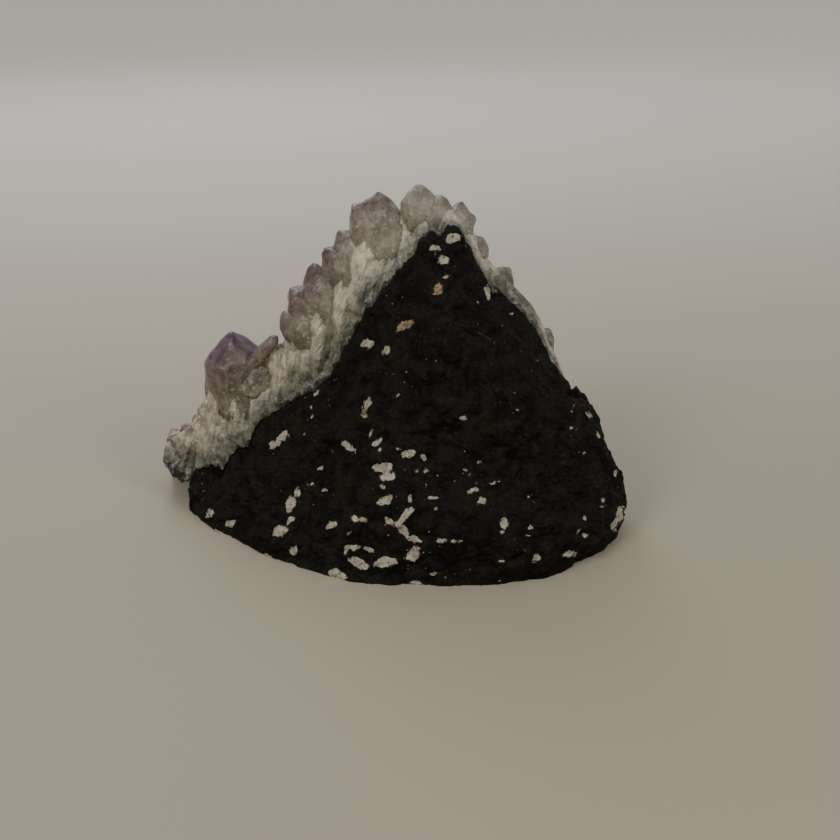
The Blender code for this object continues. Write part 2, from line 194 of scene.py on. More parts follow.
# Mineral spots on the rock, as the photograph shows them: middle X and Y in pixels, length and
# width in pixels, turn from level in degrees, and how brown each is from 0 to 1.
SPOTS = (
    (454, 238, 15, 10, 10, 0.0), (434, 248, 11, 7, 0, 0.2), (443, 260, 13, 9, 20, 0.0),
    (446, 276, 6, 4, 0, 0.3), (438, 289, 12, 9, 40, 0.9), (404, 326, 20, 7, 28, 0.9),
    (368, 344, 11, 9, 0, 0.2), (386, 351, 9, 7, 30, 0.0), (488, 293, 15, 6, 85, 0.0),
    (479, 303, 3, 3, 0, 0.0), (511, 313, 5, 3, 0, 0.0), (537, 359, 4, 3, 0, 0.0),
    (316, 393, 8, 5, 60, 0.1), (311, 408, 6, 2, 80, 0.0), (312, 416, 5, 2, 90, 0.0),
    (335, 379, 5, 2, 0, 0.0), (367, 405, 13, 8, 70, 0.3), (364, 415, 7, 5, 0, 0.9),
    (371, 432, 9, 3, 60, 0.0), (377, 441, 9, 4, 50, 0.0), (381, 449, 6, 3, 70, 0.0),
    (397, 396, 4, 2, 0, 0.0), (463, 418, 6, 4, 0, 0.1), (518, 410, 3, 3, 0, 0.0),
    (275, 444, 12, 7, 40, 0.1), (283, 436, 13, 8, 35, 0.1), (304, 435, 3, 2, 0, 0.0),
    (349, 447, 15, 7, -25, 0.0), (332, 452, 3, 3, 0, 0.0), (320, 468, 7, 5, 20, 0.0),
    (408, 454, 15, 7, 15, 0.0), (399, 448, 8, 3, 0, 0.0), (424, 457, 9, 6, -45, 0.0),
    (383, 468, 22, 9, 0, 0.0), (386, 476, 13, 8, 20, 0.0), (417, 470, 4, 3, 0, 0.0),
    (427, 471, 4, 3, 0, 0.0), (383, 487, 7, 4, 0, 0.0), (426, 485, 3, 2, 0, 0.0),
    (385, 500, 14, 8, 40, 0.1), (433, 498, 12, 5, 10, 0.0), (411, 499, 8, 4, 90, 0.0),
    (435, 509, 4, 3, 0, 0.0), (407, 514, 18, 8, 40, 0.0), (399, 521, 12, 7, 60, 0.0),
    (404, 531, 14, 7, -60, 0.0), (413, 539, 16, 7, -20, 0.0), (389, 521, 14, 5, -30, 0.0),
    (356, 520, 8, 7, 0, 0.0), (364, 519, 8, 6, 0, 0.6), (331, 525, 15, 6, 30, 0.0),
    (349, 533, 4, 3, 0, 0.0), (298, 493, 11, 4, 80, 0.0), (290, 504, 15, 9, 75, 0.0),
    (291, 520, 10, 6, 60, 0.0), (280, 531, 15, 11, 30, 0.0), (294, 551, 9, 6, 90, 0.0),
    (347, 550, 9, 5, 40, 0.0), (356, 547, 13, 6, 0, 0.0), (368, 550, 11, 5, -25, 0.0),
    (359, 563, 21, 8, -20, 0.0), (386, 563, 23, 10, 5, 0.0), (413, 555, 15, 12, 60, 0.0),
    (337, 575, 19, 9, -10, 0.0), (441, 540, 11, 5, 0, 0.0), (453, 541, 5, 3, 0, 0.0),
    (461, 541, 3, 2, 0, 0.0), (416, 583, 13, 4, 0, 0.0), (434, 574, 7, 3, 20, 0.0),
    (473, 491, 9, 6, 20, 0.0), (482, 501, 6, 5, 0, 0.0), (480, 463, 4, 3, 0, 0.0),
    (465, 469, 4, 3, 0, 0.0), (470, 474, 3, 3, 0, 0.0), (493, 483, 12, 1.5, 0, 0.0),
    (504, 524, 11, 7, 80, 0.1), (502, 533, 6, 3, 0, 0.0), (532, 527, 6, 4, 0, 0.0),
    (529, 536, 5, 3, 0, 0.0), (536, 559, 11, 4, 60, 0.0), (501, 561, 7, 3, 0, 0.0),
    (570, 554, 11, 7, 20, 0.0), (584, 454, 4, 3, 0, 0.0), (573, 408, 6, 2, 70, 0.0),
    (571, 428, 5, 3, 60, 0.0), (589, 415, 7, 3, -60, 0.0), (598, 435, 7, 3, -65, 0.0),
    (616, 472, 8, 4, 80, 0.0), (618, 519, 26, 9, 70, 0.0), (603, 499, 6, 4, 60, 0.0),
    (604, 506, 4, 2, 0, 0.0), (584, 518, 4, 3, 0, 0.0), (579, 532, 5, 3, 30, 0.0),
    (585, 535, 4, 3, 0, 0.0), (529, 498, 3, 2, 0, 0.0), (532, 502, 3, 2, 0, 0.0),
    (209, 513, 11, 8, 30, 0.0), (230, 524, 11, 6, 20, 0.0), (221, 534, 19, 4, -20, 0.0),
    (268, 556, 11, 3, -15, 0.0), (325, 489, 5, 3, 0, 0.0), (312, 484, 3, 2, 0, 0.0),
)
SCRATCH = ((441, 319), (468, 327), (492, 340))
HIDDEN_SPOTS = 40        # spots on the sides that the photograph doesn't show
HIDDEN_SPOT_SEED = 7
HIDDEN_SPOT_RADIUS = (0.5, 2.2)
FAR_FROM_SPOT = 30.0     # distance given to a point that no spot is near, in pixels

# Faces seen more edge on than this don't take the photograph's spots, and the spots shrink as the
# faces turn towards it, so that none is drawn out round a side. Pixels of shrinking per unit of turn.
EDGE_ON = 0.12
NEARLY_EDGE_ON = 0.38
EDGE_ON_SHRINK = 22.0


def clamp(value, low=0.0, high=1.0):
    return max(low, min(high, value))


def ease(value):
    """A soft step from 0 to 1 as the value goes from 0 to 1."""
    value = clamp(value)
    return value * value * (3 - 2 * value)


def along(table, x):
    """The table's value at x, on straight runs between its points."""
    if x <= table[0][0]:
        return table[0][1]
    for (x0, v0), (x1, v1) in zip(table, table[1:]):
        if x <= x1:
            return v0 + (v1 - v0) * (x - x0) / (x1 - x0)
    return table[-1][1]


def bow(start, end, amount, t):
    """A point at t on the curve from start to end. amount bows it towards the corner straight above
    the lower end."""
    lower, upper = sorted((start, end), key=lambda p: p[1])
    middle = ((start[0] + end[0]) / 2, (start[1] + end[1]) / 2)
    corner = (lower[0], upper[1])
    control = tuple(m + amount * (c - m) for m, c in zip(middle, corner))
    return tuple(
        (1 - t) ** 2 * s + 2 * t * (1 - t) * c + t * t * e for s, c, e in zip(start, control, end)
    )


def calm(table, x):
    """The table's value averaged over a wide stretch, so that its jags don't run down a surface."""
    reach = CALM_REACH * clamp((60 - x) / 12)
    return sum(along(table, x + reach * n / 2) for n in range(-2, 3)) / 5


def ridge_jag(x):
    """How far the broken ridge jumps up and down over short stretches."""
    return noise.noise(Vector((x / 2.1, 3.0, 7.0))) * 1.9 + noise.noise(Vector((x / 0.8, 5.0, 1.0))) * 0.8


def surface_between(x, t, upper_height, upper_depth, foot, bowing, upper_t):
    """A surface from its upper line down to its foot, whose jags stay near the upper line."""
    level = calm(upper_height, x)
    top = (calm(upper_depth, x), level)
    low = (calm(foot, x), -BELOW)
    start, end = (low, top) if upper_t else (top, low)
    y, z = bow(start, end, along(bowing, x), t)
    near_top = t if upper_t else 1 - t
    z += (along(upper_height, x) - level) * near_top ** 3
    if upper_height is RIDGE_HEIGHT:
        z += ridge_jag(x) * near_top ** 12
    return Vector((x, y, z))


def front(x, t):
    """The rock's front surface, from its foot (t = 0) up to the ridge (t = 1)."""
    return surface_between(x, t, RIDGE_HEIGHT, RIDGE_DEPTH, FRONT_FOOT, FRONT_BOW, 1)


def seam(x, t):
    """The surface where rock and crust meet, from the ridge (t = 0) down to the back foot (t = 1)."""
    return surface_between(x, t, RIDGE_HEIGHT, RIDGE_DEPTH, BACK_FOOT, SEAM_BOW, 0)


def outer(x, t):
    """The crust's outer side, from its upper edge (t = 0) down to its foot (t = 1)."""
    return surface_between(x, t, EDGE_HEIGHT, EDGE_DEPTH, OUTER_FOOT, OUTER_BOW, 0)


def square_to(surface, x, t):
    """The way square to a surface, away from the rock."""
    lengthways = surface(x + 4, t) - surface(x - 4, t)
    down = surface(x, clamp(t + 0.06)) - surface(x, clamp(t - 0.06))
    return lengthways.cross(down).normalized()


def settle(point):
    """The natural unevenness that rock and crust share."""
    belly = BELLY * math.sin(math.pi * clamp(point.z / BELLY_HEIGHT)) * clamp((point.x + 20) / 50)
    point = Vector((point.x * (1 + belly), point.y * (1 + belly), point.z))
    slow = noise.noise_vector(point / 24.0 + Vector((3.1, 7.7, 1.3))) * 1.8
    quick = noise.noise_vector(point / 9.0 + Vector((5.2, 0.4, 9.6))) * 0.7
    return point + slow + quick


def rock_lumps(point):
    """How far a lump or a pit stands out of the rock's open surface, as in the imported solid."""
    broad = noise.noise(point / 19.0 + Vector((2.0, 4.0, 6.0))) * 2.4
    small = noise.noise(point / 9.0 + Vector((8.0, 1.0, 5.0))) * 1.5
    return broad + small


def rock_grain(point):
    """The finer relief of the rock's broken skin: angular chunks with creases between, knobs, pits
    and grain."""
    near = noise.voronoi(point / 6.0 + Vector((4.0, 2.0, 8.0)))[0]
    chunks = min(1.0, 2.2 * (near[1] - near[0])) * 0.9
    near = noise.voronoi(point / 2.4 + Vector((7.0, 1.0, 3.0)))[0]
    chips = min(1.0, 2.5 * (near[1] - near[0])) * 0.4
    pits = -0.5 * ease(1.0 - near[0] / 0.3)
    knobs = noise.noise(point / 3.6 + Vector((1.0, 6.0, 3.0))) * 0.9
    grain = noise.noise(point / 1.0 + Vector((9.0, 5.0, 2.0))) * 0.35
    return chunks + chips + pits + knobs + grain - 0.9


def even_stations(ends, step):
    """Places from one end to the other, evenly set about a step apart."""
    count = round((ends[1] - ends[0]) / step)
    return [ends[0] + (ends[1] - ends[0]) * n / count for n in range(count + 1)]


def loft(rings):
    """Skins rings of equal, even length into one closed body, and returns it as a bmesh."""
    bm = bmesh.new()
    rows = [[bm.verts.new(point) for point in ring] for ring in rings]
    count = len(rows[0])
    for one, two in zip(rows, rows[1:]):
        for i in range(count):
            j = (i + 1) % count
            bm.faces.new((one[i], one[j], two[j], two[i]))
    for row in (rows[0], rows[-1]):
        for i in range(count // 2 - 1):
            bm.faces.new((row[i], row[i + 1], row[-2 - i], row[-1 - i]))
    bmesh.ops.recalc_face_normals(bm, faces=bm.faces)
    return bm


def saw_base(bm):
    """Cuts everything below Z = 0 away and closes the cut with flat faces."""
    cut = bmesh.ops.bisect_plane(
        bm, geom=bm.verts[:] + bm.edges[:] + bm.faces[:],
        plane_co=(0, 0, 0), plane_no=(0, 0, 1), clear_inner=True, dist=0.0005,
    )
    rim = [e for e in cut["geom_cut"] if isinstance(e, bmesh.types.BMEdge)]
    bmesh.ops.triangle_fill(bm, edges=rim, use_beauty=True, normal=(0, 0, -1))
    bmesh.ops.recalc_face_normals(bm, faces=bm.faces)


def in_metres(points):
    """Table millimetres to metres in the frame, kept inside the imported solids' box."""
    moved = (np.asarray(points) - np.array([CENTRE_X, CENTRE_Y, 0.0])) * MM
    return np.clip(moved, np.array(CAD_BOX[0]), np.array(CAD_BOX[1]))


def mesh_piece(name, bm, look, node):
    """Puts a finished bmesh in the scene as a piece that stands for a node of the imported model."""
    mesh = bpy.data.meshes.new(name)
    bm.to_mesh(mesh)
    bm.free()
    points = np.empty(len(mesh.vertices) * 3)
    mesh.vertices.foreach_get("co", points)
    mesh.vertices.foreach_set("co", in_metres(points.reshape(-1, 3)).ravel())
    mesh.materials.append(look)
    piece = bpy.data.objects.new(name, mesh)
    bpy.context.scene.collection.objects.link(piece)
    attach(piece, "root")
    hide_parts(node)
    return piece


def give(mesh, name, values):
    """Stores one number per vertex, which the material reads by name."""
    layer = mesh.attributes.new(name, "FLOAT", "POINT")
    layer.data.foreach_set("value", np.asarray(values, dtype=np.float32))


def table_points(mesh):
    """The mesh's vertices in table millimetres."""
    points = np.empty(len(mesh.vertices) * 3)
    mesh.vertices.foreach_get("co", points)
    return points.reshape(-1, 3) / MM + np.array([CENTRE_X, CENTRE_Y, 0.0])


def in_pixels(points):
    """Where points in table millimetres fall in the photograph's frame."""
    offset = points - np.array(VIEW_TARGET)
    forward = np.array([0.0, math.cos(VIEW_DOWN), -math.sin(VIEW_DOWN)])
    upward = np.array([0.0, math.sin(VIEW_DOWN), math.cos(VIEW_DOWN)])
    depth = VIEW_DISTANCE + offset @ forward
    scale = FOCAL_PIXELS / depth
    middle = FRAME_PIXELS / 2
    return np.stack([middle + offset[:, 0] * scale, middle - (offset @ upward) * scale], axis=1)


def rock_ring(x):
    """One fine cross-section of the rock: up its front and down its seam with the crust."""
    ring = []
    for row in range(ROCK_FRONT_ROWS):
        t = row / ROCK_FRONT_ROWS
        point = front(x, t)
        outwards = Vector((x / 90.0, -1.0, 0.35)).normalized()
        ring.append(settle(point + outwards * rock_lumps(point) * math.sin(math.pi * t) ** 0.5))
    for row in range(ROCK_BACK_ROWS):
        ring.append(settle(seam(x, row / (ROCK_BACK_ROWS - 1))))
    return ring


def bareness(row, x):
    """How much of the grain a row of the rock's surface gets: none where the crust covers it."""
    if row < ROCK_FRONT_ROWS:
        return ease((1 - row / ROCK_FRONT_ROWS) / 0.03)
    return ease((x - CRUST_ENDS[1] - 1.5) / 3) * ease((row - ROCK_FRONT_ROWS) / 5)


def build_rock(look):
    bm = loft([rock_ring(x) for x in even_stations(ROCK_ENDS, ROCK_STATION)])
    bare = bm.verts.layers.float.new("bare")
    for number, vertex in enumerate(bm.verts):
        vertex[bare] = bareness(number % (ROCK_FRONT_ROWS + ROCK_BACK_ROWS), vertex.co.x)
    saw_base(bm)
    bm.normal_update()
    moves = []
    for vertex in bm.verts:
        away = vertex.normal.copy()
        if vertex.co.z < 0.01:
            away = Vector((away.x, away.y, 0)).normalized()
        moves.append(away * rock_grain(vertex.co) * vertex[bare] * (0.5 + 0.5 * ease(vertex.co.z / 3)))
    for vertex, move in zip(bm.verts, moves):
        vertex.co += move
    rock = mesh_piece("rock_skin", bm, look, "rock_matrix")
    rock.data.shade_smooth()
    mark_spots(rock.data)
    return rock


def spot_wander(point):
    """How far the spots' outlines are pulled about, in pixels, so that none is a plain oval."""
    slow = noise.noise_vector(point / 2.6) * 2.8
    return (slow + noise.noise_vector(point / 1.2 + Vector((3.0, 9.0, 4.0))) * 1.1)[:2]


def mark_spots(mesh):
    """For each vertex, how far it is from the nearest mineral spot, in the photograph's pixels, and
    how brown that spot is. Points that face away from the photograph get spots of their own."""
    points = table_points(mesh)
    pixels = in_pixels(points)
    normals = np.empty(len(points) * 3)
    mesh.vertices.foreach_get("normal", normals)
    normals = normals.reshape(-1, 3)
    eye = np.array(VIEW_TARGET) - VIEW_DISTANCE * np.array([0, math.cos(VIEW_DOWN), -math.sin(VIEW_DOWN)])
    to_eye = eye - points
    to_eye /= np.linalg.norm(to_eye, axis=1)[:, None]
    facing = (normals * to_eye).sum(axis=1)
    faces_eye = facing > EDGE_ON
    shrink = np.maximum(0.0, NEARLY_EDGE_ON - facing) * EDGE_ON_SHRINK
    distance = np.full(len(points), FAR_FROM_SPOT)
    brown = np.zeros(len(points))
    wander = np.array([spot_wander(Vector(point)) for point in points])
    for x, y, length, width, turn, brownness in SPOTS:
        angle = math.radians(turn)
        dx, dy = pixels[:, 0] - x + wander[:, 0], y - pixels[:, 1] + wander[:, 1]
        lengthways = (dx * math.cos(angle) + dy * math.sin(angle)) / (length / 2)
        across = (-dx * math.sin(angle) + dy * math.cos(angle)) / (width / 2)
        away = (np.hypot(lengthways, across) - 1) * math.sqrt(length * width) / 2 + shrink
        closer = faces_eye & (away < distance)
        distance[closer] = away[closer]
        brown[closer] = brownness
    rng = random.Random(HIDDEN_SPOT_SEED)
    hidden = np.nonzero(~faces_eye & (points[:, 2] > 1))[0]
    for _ in range(HIDDEN_SPOTS):
        middle = points[hidden[rng.randrange(len(hidden))]]
        radius = rng.uniform(*HIDDEN_SPOT_RADIUS)
        away = (np.linalg.norm(points - middle, axis=1) - radius) * FOCAL_PIXELS / VIEW_DISTANCE
        closer = ~faces_eye & (away < distance)
        distance[closer] = away[closer]
    scratch = np.full(len(points), FAR_FROM_SPOT)
    for start, end in zip(SCRATCH, SCRATCH[1:]):
        run = np.subtract(end, start)
        share = np.clip(((pixels - start) @ run) / (run @ run), 0, 1)
        away = np.linalg.norm(pixels - (start + share[:, None] * run), axis=1)
        scratch = np.where(faces_eye, np.minimum(scratch, away), scratch)
    give(mesh, "spot", distance)
    give(mesh, "brown", brown)
    give(mesh, "scratch", scratch)


def paleness(point):
    """How much less purple the peak's front is than the rest."""
    across = ease((point.x - 1) / 3) * (1 - ease((point.x - 13) / 3))
    return 0.7 * across * (1 - ease((point.y - 16) / 4)) * ease((point.z - 78) / 6)


def column_place(x, up):
    """Where a point of the broken face lies across the quartz columns, which lean as they rise."""
    return x - up * math.tan(math.radians(along(COLUMN_LEAN, x)))


def face_relief(x, up, length):
    """How far the crust's broken face stands forward: columns on the left, lumps of grains above."""
    across = column_place(x, up)
    columns = noise.noise(Vector((across / 2.3, up / 13.0, 1.0))) * 1.3
    fibres = noise.noise(Vector((across / 0.8, up / 7.0, 5.0))) * 0.5
    lumps = noise.noise(Vector((across / 4.5, up / 5.5, 9.0))) * 1.6
    near = noise.voronoi(Vector((across / 2.6, up / 3.0, 2.0)))[0]
    blocks = min(1.0, 1.6 * (near[1] - near[0])) * 0.5
    grains = blocks + noise.noise(Vector((across, up, 6.0))) * 0.35 - 0.3
    left = 1 - ease((x + 34) / 22)
    relief = (columns + fibres) * (0.4 + 0.6 * left) + (lumps + grains) * (1 - 0.55 * left)
    return relief * (0.35 + 0.65 * ease(up / length / 0.35))


def crust_ring(x):
    """One fine cross-section of the crust. With each point come its rise, from 0 at the rock to 1 at
    the outer side, and its height above the ridge."""
    seam_side = []
    for row in range(CRUST_BACK_ROWS + 1):
        t = row / CRUST_BACK_ROWS
        seam_side.append(settle(seam(x, t)) + square_to(seam, x, t) * SEAM_GAP)
    outer_side = [settle(outer(x, row / CRUST_BACK_ROWS)) for row in range(CRUST_BACK_ROWS, -1, -1)]
    edge, ridge = outer_side[-1], seam_side[0]
    length = (edge - ridge).length
    outwards = Vector((0, -(edge.z - ridge.z), edge.y - ridge.y)).normalized()
    face = []
    for row in range(1, CRUST_FACE_ROWS):
        share = row / CRUST_FACE_ROWS
        coarse = noise.noise(Vector((x / 3.5, share * 1.5, 4.0)))
        hold = math.sin(math.pi * share)
        relief = (coarse * 0.12 + 0.05) * length * hold
        up = (1 - share) * length
        fine = face_relief(x, up, length) * min(1.0, 2.5 * hold) * min(1.0, length / 9.0)
        point = edge.lerp(ridge, share) + Vector((0, -relief, 0)) + outwards * fine
        face.append((point, 1 - share, up))
    half = len(face) // 2
    sides = [(point, 0.0, 0.0) for point in seam_side] + [(point, 1.0, length) for point in outer_side]
    return face[half:] + sides + face[:half]


def build_crust(look):
    """The crust, and a record of its surface that the crystals take their colours from."""
    rings = [crust_ring(x) for x in even_stations(CRUST_ENDS, CRUST_STATION)]
    bm = loft([[point for point, rise, up in ring] for ring in rings])
    rise_layer = bm.verts.layers.float.new("rise")
    across_layer = bm.verts.layers.float.new("across")
    up_layer = bm.verts.layers.float.new("up")
    for vertex, (point, rise, up) in zip(bm.verts, (place for ring in rings for place in ring)):
        # The low left end and the grey-green stretches of the broken face stay mostly rind.
        lip = min(1.0, ease((point.x + 61) / 10) + ease((point.z - 12) / 9))
        behind = ease((point.y - along(EDGE_DEPTH, point.x)) / GROWN_BEHIND)
        grown = max(lip * along(GREEN_STRETCH, point.x), LEAST_GROWN, behind)
        vertex[rise_layer] = rise * grown * (1 - 0.6 * paleness(point))
        vertex[across_layer] = column_place(point.x, up)
        vertex[up_layer] = up
    saw_base(bm)
    bm.normal_update()
    surface = KDTree(len(bm.verts))
    marks = []
    for number, vertex in enumerate(bm.verts):
        surface.insert(vertex.co, number)
        marks.append((vertex.normal.copy(), vertex[rise_layer], vertex[across_layer], vertex[up_layer]))
    surface.balance()
    crust = mesh_piece("quartz_crust", bm, look, "amethyst_crust")
    crust.data.shade_smooth()
    return crust, surface, marks


def crystal(tip, axis, width, length, rng):
    """One quartz crystal as a bmesh: a six-sided prism under three large and three small tip faces."""
    bm = bmesh.new()
    bmesh.ops.create_cube(bm, size=4 * max(width, length))
    turn = rng.uniform(0, math.tau)
    planes = [((0, 0, -length), (0, 0, -1))]
    for side in range(6):
        angle = turn + side * math.pi / 3
        outwards = Vector((math.cos(angle), math.sin(angle), 0))
        planes.append((outwards * width / 2 * rng.uniform(0.86, 1.08), outwards))
        set_back = 0 if side % 2 == 0 else rng.uniform(0.03, 0.16) * width
        face = outwards * math.sin(TIP_ANGLE) + Vector((0, 0, math.cos(TIP_ANGLE)))
        planes.append((face * set_back, face))
    for point, normal in planes:
        cut = bmesh.ops.bisect_plane(
            bm, geom=bm.verts[:] + bm.edges[:] + bm.faces[:],
            plane_co=point, plane_no=normal, clear_outer=True,
        )
        rim = [e for e in cut["geom_cut"] if isinstance(e, bmesh.types.BMEdge)]
        if rim:
            bmesh.ops.contextual_create(bm, geom=rim)
    bmesh.ops.remove_doubles(bm, verts=bm.verts, dist=0.02)
    turned = Vector(axis).normalized().to_track_quat("Z", "Y").to_matrix().to_4x4()
    turned.translation = Vector(tip)
    bmesh.ops.transform(bm, matrix=turned, verts=bm.verts)
    bmesh.ops.recalc_face_normals(bm, faces=bm.faces)
    return bm


def spread(rng, taken, tries, widths, spacing, lean_limit, rise_range, allowed):
    """Crystals spread over the crust's outer side, as (tip, axis, width, length). Their feet join
    those in taken."""
    found = []
    for _ in range(tries):
        x = rng.uniform(CRUST_ENDS[0] + 3, CRUST_ENDS[1] - 3)
        t = rng.uniform(0.0, 0.97)
        width = rng.uniform(*widths) * (1 - 0.4 * ease((x - 10) / 35))
        outwards = square_to(outer, x, t)
        foot = settle(outer(x, t))
        if not allowed(x, t, foot):
            continue
        if any((foot - other).length < spacing * (width + w) for other, w in taken):
            continue
        lean = Vector([rng.uniform(-lean_limit, lean_limit) for _ in range(3)])
        axis = (outwards + lean).normalized()
        above = width * rng.uniform(*rise_range)
        sunk = min(3.0, 0.25 * (outer(x, t) - seam(x, t)).length)
        taken.append((foot, width))
        found.append((foot + axis * above, axis, width, above + sunk))
    return found


def all_crystals():
    """Every crystal as a bmesh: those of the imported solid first, drawn in its order."""
    rng = random.Random(FILL_SEED)
    taken = [(Vector(tip) - Vector(axis).normalized() * width * 0.5, width)
             for tip, axis, width, length in NAMED_POINTS.values()]
    fill = spread(
        rng, taken, FILL_TRIES, FILL_WIDTH, FILL_SPACING, FILL_LEAN, FILL_RISE,
        lambda x, t, foot: not (foot.z < 3 or (t < 0.12 and x > 8) or (t < 0.3 and x < -48)),
    )
    shapes = []
    for name, (tip, axis, width, length) in NAMED_POINTS.items():
        shape = crystal(tip, axis, width, length, rng)
        round_off(shape, tip, axis, THIN_POINTS.get(name, 1.0))
        shapes.append(shape)
    for point in fill:
        shape = crystal(*point, rng)
        wear(shape, WORN_EDGE * point[2])
        shapes.append(shape)
    rng = random.Random(SMALL_SEED)
    taken = [(foot, width * CROWDING) for foot, width in taken]
    small = spread(
        rng, taken, SMALL_TRIES, SMALL_WIDTH, SMALL_SPACING, SMALL_LEAN, SMALL_RISE,
        lambda x, t, foot: foot.z > 2 and t > 0.06,
    )
    for point in small:
        shape = crystal(*point, rng)
        wear(shape, WORN_EDGE * point[2])
        shapes.append(shape)
    return shapes


def wear(bm, width):
    """Rounds a crystal's edges."""
    bmesh.ops.bevel(
        bm, geom=bm.edges[:], offset=width, segments=2, profile=0.6,
        affect="EDGES", clamp_overlap=True,
    )


def reach(bm):
    """Lowest and highest Z of a bmesh, and how far it reaches from the Z axis."""
    heights = [vertex.co.z for vertex in bm.verts]
    return min(heights), max(heights), max(vertex.co.xy.length for vertex in bm.verts)


def round_off(bm, tip, axis, thinness):
    """Makes a crystal of the broken edge as rounded and uneven as the photograph shows it."""
    turned = Vector(axis).normalized().to_track_quat("Z", "Y").to_matrix().to_4x4()
    turned.translation = Vector(tip)
    bmesh.ops.transform(bm, matrix=turned.inverted(), verts=bm.verts)
    low, high, radius = reach(bm)
    bmesh.ops.triangulate(bm, faces=bm.faces)
    for _ in range(3):
        longest = [edge for edge in bm.edges if edge.calc_length() > ROUNDED_CELL]
        bmesh.ops.subdivide_edges(bm, edges=longest, cuts=1, use_grid_fill=True)
        bmesh.ops.triangulate(bm, faces=bm.faces)
    for _ in range(ROUNDED_PASSES):
        bmesh.ops.smooth_vert(
            bm, verts=bm.verts, factor=0.5, use_axis_x=True, use_axis_y=True, use_axis_z=True,
        )
    new_low, new_high, new_radius = reach(bm)
    wider = radius / new_radius
    for vertex in bm.verts:
        height = low + (vertex.co.z - new_low) * (high - low) / (new_high - new_low)
        vertex.co = (vertex.co.x * wider, vertex.co.y * wider * thinness, height)
    bmesh.ops.transform(bm, matrix=turned, verts=bm.verts)
    for vertex in bm.verts:
        vertex.co += noise.noise_vector(vertex.co / 5.0) * 0.7 + noise.noise_vector(vertex.co / 1.9) * 0.3


def grown_together(shapes):
    """The union of closed bmeshes, as one bmesh."""
    loose = []
    for shape in shapes:
        mesh = bpy.data.meshes.new("loose_crystal")
        shape.to_mesh(mesh)
        shape.free()
        loose.append(bpy.data.objects.new("loose_crystal", mesh))
    group = bpy.data.collections.new("loose_crystals")
    bpy.context.scene.collection.children.link(group)
    bpy.context.scene.collection.objects.link(loose[0])
    for one in loose[1:]:
        group.objects.link(one)
    modifier = loose[0].modifiers.new("grown_together", "BOOLEAN")
    modifier.operation = "UNION"
    modifier.solver = "MANIFOLD"
    modifier.operand_type = "COLLECTION"
    modifier.collection = group
    bm = bmesh.new()
    bm.from_object(loose[0], bpy.context.evaluated_depsgraph_get())
    for one in loose:
        bpy.data.objects.remove(one)
    bpy.data.collections.remove(group)
    return bm


def build_points(look, surface, marks):
    """The crystals as one solid, coloured by how far they stand above the crust's surface."""
    bm = grown_together(all_crystals())
    saw_base(bm)
    piece = mesh_piece("amethyst_points", bm, look, "amethyst_crust")
    rises, acrosses, ups = [], [], []
    for point in table_points(piece.data):
        near, number, _ = surface.find(point)
        normal, rise, across, up = marks[number]
        height = max(0.0, (Vector(point) - near).dot(normal))
        rises.append(rise + height / POINT_HEIGHT * (1 - paleness(Vector(point))))
        acrosses.append(across)
        ups.append(up + height)
    give(piece.data, "rise", rises)
    give(piece.data, "across", acrosses)
    give(piece.data, "up", ups)
    piece.data.shade_smooth()
    piece.data.set_sharp_from_angle(angle=math.radians(35))
    return piece


class Nodes:
    """Short names for adding and joining shader nodes."""

    def __init__(self, name):
        self.material = bpy.data.materials.new(name)
        self.material.use_nodes = True
        self.tree = self.material.node_tree
        self.shader = self.tree.nodes["Principled BSDF"]
        self.place = self.add("ShaderNodeTexCoord").outputs["Object"]

    def add(self, kind, **settings):
        node = self.tree.nodes.new(kind)
        for key, value in settings.items():
            setattr(node, key, value)
        return node

    def join(self, value, socket):
        if isinstance(value, bpy.types.NodeSocket):
            self.tree.links.new(value, socket)
        else:
            socket.default_value = value

    def attribute(self, name):
        return self.add("ShaderNodeAttribute", attribute_name=name).outputs["Fac"]

    def math(self, operation, *values):
        node = self.add("ShaderNodeMath", operation=operation)
        for value, socket in zip(values, node.inputs):
            self.join(value, socket)
        return node.outputs[0]

    def stretch(self, value, low, high, new_low=0.0, new_high=1.0):
        """A soft step from new_low to new_high as the value goes from low to high."""
        node = self.add("ShaderNodeMapRange", interpolation_type="SMOOTHSTEP")
        for given, socket in zip((value, low, high, new_low, new_high), node.inputs):
            self.join(given, socket)
        return node.outputs[0]

    def noise_at(self, place, size, detail=3.0, roughness=0.5):
        node = self.add("ShaderNodeTexNoise")
        self.join(place, node.inputs["Vector"])
        node.inputs["Scale"].default_value = 1 / size
        node.inputs["Detail"].default_value = detail
        node.inputs["Roughness"].default_value = roughness
        return node.outputs["Fac"]

    def noise(self, size_mm, detail=3.0, roughness=0.5):
        return self.noise_at(self.place, size_mm * MM, detail, roughness)

    def cells(self, size_mm, output="Distance"):
        node = self.add("ShaderNodeTexVoronoi")
        self.join(self.place, node.inputs["Vector"])
        node.inputs["Scale"].default_value = 1 / (size_mm * MM)
        return node.outputs[output]

    def mix(self, share, one, two):
        node = self.add("ShaderNodeMix", data_type="RGBA")
        self.join(share, node.inputs["Factor"])
        for value, socket in zip((one, two), (node.inputs[6], node.inputs[7])):
            if not isinstance(value, bpy.types.NodeSocket):
                value = (*value, 1.0)
            self.join(value, socket)
        return node.outputs[2]

    def bump(self, height, strength, distance_mm):
        node = self.add("ShaderNodeBump")
        node.inputs["Strength"].default_value = strength
        node.inputs["Distance"].default_value = distance_mm * MM
        self.join(height, node.inputs["Height"])
        self.join(node.outputs[0], self.shader.inputs["Normal"])

    def set(self, **sockets):
        for name, value in sockets.items():
            if isinstance(value, tuple) and len(value) == 3:
                value = (*value, 1.0)
            self.join(value, self.shader.inputs[name.replace("_", " ")])
        return self.material


